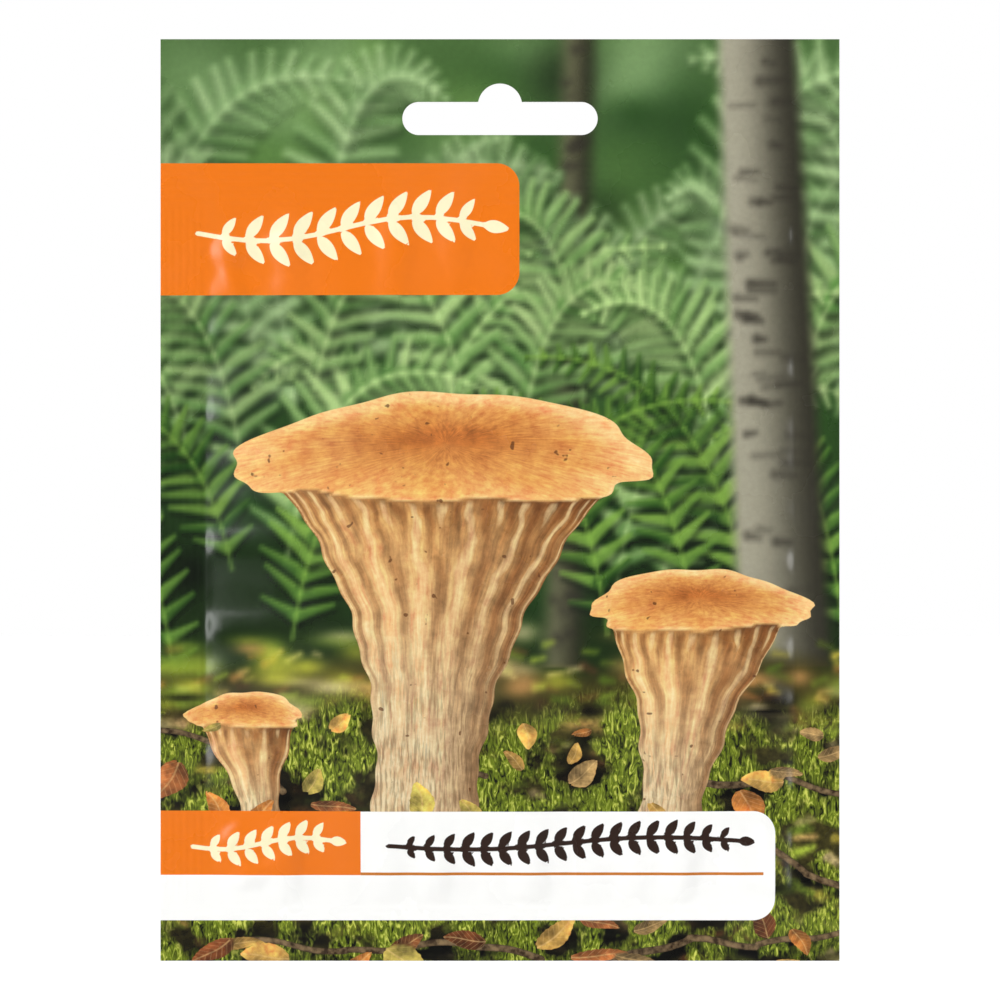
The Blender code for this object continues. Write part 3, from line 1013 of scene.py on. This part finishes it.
def pictureColour(tree):
    # the printed picture: soft backdrop, fine ground texture, then leaves and mushrooms with sharp edges
    place = onObject(tree)
    colour = attribute(tree, "backdropColour", "Color")
    moss = attribute(tree, "mossShare")

    grain = noise(tree, place, 1100.0, 4.0)
    grainShare = calc(tree, "MULTIPLY_ADD", moss, 0.45, 0.05)
    colour = mix(tree, grainShare, colour, spreadGrey(tree, grain), "OVERLAY")

    stretched = addNode(tree, "ShaderNodeMapping", {"Vector": place, "Scale": (1.0, 1.0, 0.36)}).outputs[0]
    blades = noise(tree, stretched, 1300.0, 3.0, Distortion=1.6)
    tufts = noise(tree, place, 150.0, 3.0)
    mossColour = mix(tree, spread(tree, blades, 0.34, 0.56), shade(30, 36, 8), shade(140, 158, 40))
    mossColour = mix(tree, spread(tree, blades, 0.56, 0.68), mossColour, shade(226, 230, 112))
    mossHere = times(tree, moss, spread(tree, tufts, 0.44, 0.54))
    colour = mix(tree, times(tree, mossHere, 0.85), colour, mossColour)
    colour = addNode(tree, "ShaderNodeGamma", {"Color": colour, "Gamma": 1.16}).outputs[0]

    leaf = attribute(tree, "leafColour", "Color")
    along, across = attribute(tree, "leafAlong"), attribute(tree, "leafAcross")
    apart = calc(tree, "ABSOLUTE", across)
    midrib = spread(tree, apart, 0.05, 0.02)
    veins = calc(tree, "SINE", times(tree, calc(tree, "MULTIPLY_ADD", apart, -0.9, along), 24.0))
    veins = calc(tree, "MAXIMUM", midrib, times(tree, spread(tree, veins, 0.80, 0.98), 0.5))
    leaf = mix(tree, times(tree, veins, 0.34), leaf, shade(230, 190, 124))
    leaf = mix(tree, 0.5, leaf, spreadGrey(tree, grain), "OVERLAY")

    fungus = attribute(tree, "fungusColour", "Color")
    phase, ribShare = attribute(tree, "fungusRib"), attribute(tree, "fungusRibShare")
    bent = noise(tree, place, 160.0, 2.0)
    phase = calc(tree, "MULTIPLY_ADD", bent, 3.2, phase)
    fine = calc(tree, "SINE", calc(tree, "MULTIPLY_ADD", phase, 2.0, 0.9))
    wave = calc(tree, "SINE", phase)
    forked = calc(tree, "SUBTRACT", fine, wave)
    forked = calc(tree, "MULTIPLY_ADD", forked, attribute(tree, "fungusFork"), wave)
    ribDark = times(tree, spread(tree, forked, 0.0, 0.9), ribShare)
    ribLight = times(tree, spread(tree, forked, -0.45, -0.95), ribShare)
    fungus = mix(tree, times(tree, ribDark, 0.62), fungus, shade(128, 70, 24))
    fungus = mix(tree, times(tree, ribLight, 0.40), fungus, shade(255, 224, 164))
    fibres = {0: attribute(tree, "fungusAround"), 1: attribute(tree, "fungusAlong")}
    fibres = addNode(tree, "ShaderNodeCombineXYZ", fibres).outputs[0]
    streaks = noise(tree, fibres, 1.6, 5.0, Roughness=0.62)
    fungus = mix(tree, 0.42, fungus, spreadGrey(tree, streaks), "OVERLAY")
    mottle = noise(tree, place, 420.0, 6.0, Roughness=0.65)
    fungus = mix(tree, 0.40, fungus, spreadGrey(tree, mottle), "OVERLAY")
    drawn = addNode(tree, "ShaderNodeMapping", {"Vector": place, "Scale": (1.0, 1.0, 0.10)}).outputs[0]
    threads = noise(tree, drawn, 2300.0, 3.0)
    fibrous = times(tree, spread(tree, threads, 0.46, 0.62), attribute(tree, "fungusStem"))
    fungus = mix(tree, times(tree, fibrous, 0.55), fungus, shade(112, 82, 50))
    specks = noise(tree, place, 700.0, 1.0)
    fungus = mix(tree, times(tree, spread(tree, specks, 0.73, 0.77), 0.8), fungus, shade(96, 52, 22))
    fungusMask = spread(tree, attribute(tree, "fungusEdge"), -0.05, 0.05)

    twigEdge = attribute(tree, "twigEdge")
    bark = noise(tree, place, 900.0, 4.0)
    twig = mix(tree, spread(tree, bark, 0.35, 0.65), shade(58, 42, 26), shade(136, 112, 78))
    twig = mix(tree, spread(tree, twigEdge, 0.25, 0.0, 0.0, 0.6), twig, shade(38, 26, 14))
    colour = mix(tree, ink(tree, "twigEdge"), colour, twig)
    colour = mix(tree, fungusMask, colour, fungus)
    return mix(tree, ink(tree, "leafEdge"), colour, leaf)


def printedFilmMaterial(patchGroup, surfaceGroup):
    material, tree, shader = newMaterial("printedLaminate")
    colour = pictureColour(tree)
    masks = {name: patch(tree, patchGroup, *panels[name]) for name in panels}
    for name, tone in (("band", "white"), ("box", "orange"), ("rule", "rule"), ("tab", "orange")):
        colour = mix(tree, masks[name], colour, panelColours[tone])
    onOrange = calc(tree, "MAXIMUM", masks["tab"], masks["box"])
    sprigs = mix(tree, onOrange, panelColours["dark"], panelColours["cream"])
    colour = mix(tree, ink(tree, "sprigEdge"), colour, sprigs)
    colour = mix(tree, attribute(tree, "printedSide"), panelColours["bare"], colour)
    feed(tree, shader.inputs["Base Color"], colour)
    finishLaminate(tree, shader, surfaceGroup, "front")
    return material


backPanels = {
    "header": (-6.0, 20.2, 117.0, 33.2, 0.05),
    "foot": (-6.0, 131.0, 117.0, 136.0, 0.05),
    "notes": (11.0, 40.0, 99.5, 86.0, 3.0),
    "dates": (11.0, 91.0, 55.0, 125.0, 3.0),
}
ruledLines = {"notes": (17.0, 93.5, 48.5, 7.0, 5), "dates": (17.0, 49.0, 99.5, 7.0, 4)}
backPrint = {"frame": 0.45, "lineHalf": 0.11, "lineRadius": 0.02}  # millimetres
backColours = {
    "dull": shade(236, 230, 208),
    "clear": shade(242, 237, 218),
    "leaf": shade(96, 122, 62),
    "panel": shade(247, 245, 236),
    "line": shade(150, 160, 128),
}


def backFilmMaterial(patchGroup, surfaceGroup):
    # a guessed back: cream laminate, two orange strips and two white panels ruled for notes
    material, tree, shader = newMaterial("backLaminate")
    cloud = noise(tree, onObject(tree), 30.0, 4.0)
    colour = mix(tree, spread(tree, cloud, 0.35, 0.65), backColours["dull"], backColours["clear"])
    masks = {name: patch(tree, patchGroup, *backPanels[name]) for name in backPanels}
    for name in ("header", "foot"):
        colour = mix(tree, masks[name], colour, panelColours["orange"])
    for name, (lineLeft, lineRight, first, pitch, count) in ruledLines.items():
        colour = mix(tree, masks[name], colour, backColours["leaf"])
        inset = [side * backPrint["frame"] for side in (1, 1, -1, -1, -1)]
        within = patch(tree, patchGroup, *(edge + more for edge, more in zip(backPanels[name], inset)))
        colour = mix(tree, within, colour, backColours["panel"])
        for line in range(count):
            v, half = first + line * pitch, backPrint["lineHalf"]
            ruled = patch(tree, patchGroup, lineLeft, v - half, lineRight, v + half, backPrint["lineRadius"])
            colour = mix(tree, ruled, colour, backColours["line"])
    sprigs = mix(tree, masks["header"], backColours["leaf"], panelColours["cream"])
    colour = mix(tree, ink(tree, "sprigEdge"), colour, sprigs)
    colour = mix(tree, attribute(tree, "printedSide"), panelColours["bare"], colour)
    feed(tree, shader.inputs["Base Color"], colour)
    finishLaminate(tree, shader, surfaceGroup, "back")
    return material


def spawnMaterial():
    material, tree, shader = newMaterial("spawnGrains")
    place = onObject(tree)
    husk = noise(tree, place, 600.0, 5.0)
    threads = noise(tree, place, 240.0, 6.0, Distortion=1.2)
    colour = mix(tree, spread(tree, husk, 0.35, 0.65), shade(132, 92, 54), shade(196, 158, 104))
    colour = mix(tree, spread(tree, threads, 0.48, 0.60), colour, shade(238, 234, 222))
    feed(tree, shader.inputs["Base Color"], colour)
    feed(tree, shader.inputs["Roughness"], spread(tree, threads, 0.4, 0.7, 0.7, 0.95))
    bump = addNode(tree, "ShaderNodeBump", {"Height": husk, "Distance": 0.2 * mm})
    feed(tree, shader.inputs["Normal"], bump.outputs["Normal"])
    return material


def paint(film, material):
    film.data.materials.clear()
    film.data.materials.append(material)


patchGroup = roundedPatchGroup()
surfaceGroup = laminateGroup()
cutter = slotCutter()

frontFilm = addFilm("frontFilm", cutter)
print("front film:", len(frontFilm.data.polygons), "faces")
front = newCanvas(frontFilm)
paintPicture(front)
drawSprigs(front, frontSprigs)
markPrintedSide(front, "frontFilm")
paint(frontFilm, printedFilmMaterial(patchGroup, surfaceGroup))
print("picture painted")

backFilm = addFilm("backFilm", cutter)
back = newCanvas(backFilm)
drawSprigs(back, backSprigs)
markPrintedSide(back, "backFilm")
paint(backFilm, backFilmMaterial(patchGroup, surfaceGroup))
print("back film:", len(backFilm.data.polygons), "faces")
bpy.data.objects.remove(cutter, do_unlink=True)

for piece, node, finish in ((frontFilm, "front_film", "printed_film"), (backFilm, "back_film", "plain_film")):
    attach(piece, "root")
    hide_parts(node)

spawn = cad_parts["spawn"]
spawnFinish = spawnMaterial()
for place in spawn.material_slots:
    place.material = spawnFinish

studio = {
    "floorGap": 45.0 * mm,  # the packet hangs clear of the floor
    "floorSize": 8.0,
    "floorRoughness": 0.9,
    "lens": 200.0,
    "sensor": 36.0,
    "frameWidth": 162.8 * mm,  # the width that the picture takes in at the packet
    "skyLight": 0.45,
    "skyGloss": 0.15,
}
# name, direction towards it, strength and width in degrees
suns = (
    ("key", (-0.45, -0.60, 0.66), 1.70, 28),
    ("back", (0.35, 0.55, 0.75), 1.30, 40),
)
# name, place, size and power
softboxes = (
    ("sheenLeft", (-1.05, -1.00, 0.10), (0.45, 1.2), 15.0),
    ("sheenRight", (1.25, -0.95, 0.05), (0.35, 1.2), 12.0),
    ("sheenBackLeft", (-1.05, 1.00, 0.10), (0.45, 1.2), 15.0),
    ("sheenBackRight", (1.25, 0.95, 0.05), (0.35, 1.2), 12.0),
)


def addFloor():
    half = studio["floorSize"] / 2
    z = packet["bottom"] - studio["floorGap"]
    mesh = bpy.data.meshes.new("floor")
    corners = [(-half, -half, z), (half, -half, z), (half, half, z), (-half, half, z)]
    mesh.from_pydata(corners, [], [(0, 1, 2, 3)])
    floor = addObject("floor", mesh)
    material, tree, shader = newMaterial("paleFloor")
    cloud = noise(tree, onObject(tree), 3.0, 2.0)
    feed(tree, shader.inputs["Base Color"], mix(tree, cloud, shade(253, 253, 253), shade(254, 254, 254)))
    feed(tree, shader.inputs["Roughness"], studio["floorRoughness"])
    mesh.materials.append(material)
    floor.visible_glossy = False  # out of reflections, so that the print's darks stay deep


def addSun(name, away, strength, width):
    light = bpy.data.lights.new(name, "SUN")
    light.energy = strength
    light.angle = math.radians(width)
    addObject(name, light).rotation_euler = Vector(away).to_track_quat("Z", "Y").to_euler()


def addSoftbox(name, place, size, power):
    # seen in reflections alone, so that the film shows its sheen from the side
    light = bpy.data.lights.new(name, "AREA")
    light.shape = "RECTANGLE"
    light.size, light.size_y = size
    light.energy = power
    lamp = addObject(name, light)
    lamp.location = place
    lamp.rotation_euler = Vector(place).to_track_quat("Z", "Y").to_euler()
    lamp.visible_diffuse = False
    lamp.visible_camera = False


def addWorld():
    # an even white sky, dimmer in reflections so that the print keeps its depth
    world = bpy.data.worlds.new("studio")
    world.use_nodes = True
    tree = world.node_tree
    rays = addNode(tree, "ShaderNodeLightPath").outputs
    level = spread(tree, rays["Is Glossy Ray"], 0.0, 1.0, studio["skyLight"], studio["skyGloss"])
    level = calc(tree, "MAXIMUM", level, rays["Is Camera Ray"])
    background = tree.nodes["Background"].inputs
    feed(tree, background["Color"], (1.0, 1.0, 1.0, 1.0))
    feed(tree, background["Strength"], level)
    bpy.context.scene.world = world


def addCamera():
    data = bpy.data.cameras.new("camera")
    data.lens = studio["lens"]
    data.sensor_width = studio["sensor"]
    data.clip_start = 0.01
    data.clip_end = 50.0
    camera = addObject("camera", data)
    away = studio["frameWidth"] * studio["lens"] / studio["sensor"]
    camera.location = (0.0, -away, (packet["top"] + packet["bottom"]) / 2)
    camera.rotation_euler = (math.pi / 2, 0.0, 0.0)
    bpy.context.scene.camera = camera


addFloor()
for sun in suns:
    addSun(*sun)
for softbox in softboxes:
    addSoftbox(*softbox)
addWorld()
addCamera()
bpy.context.scene.view_settings.view_transform = "Standard"
print("studio ready")
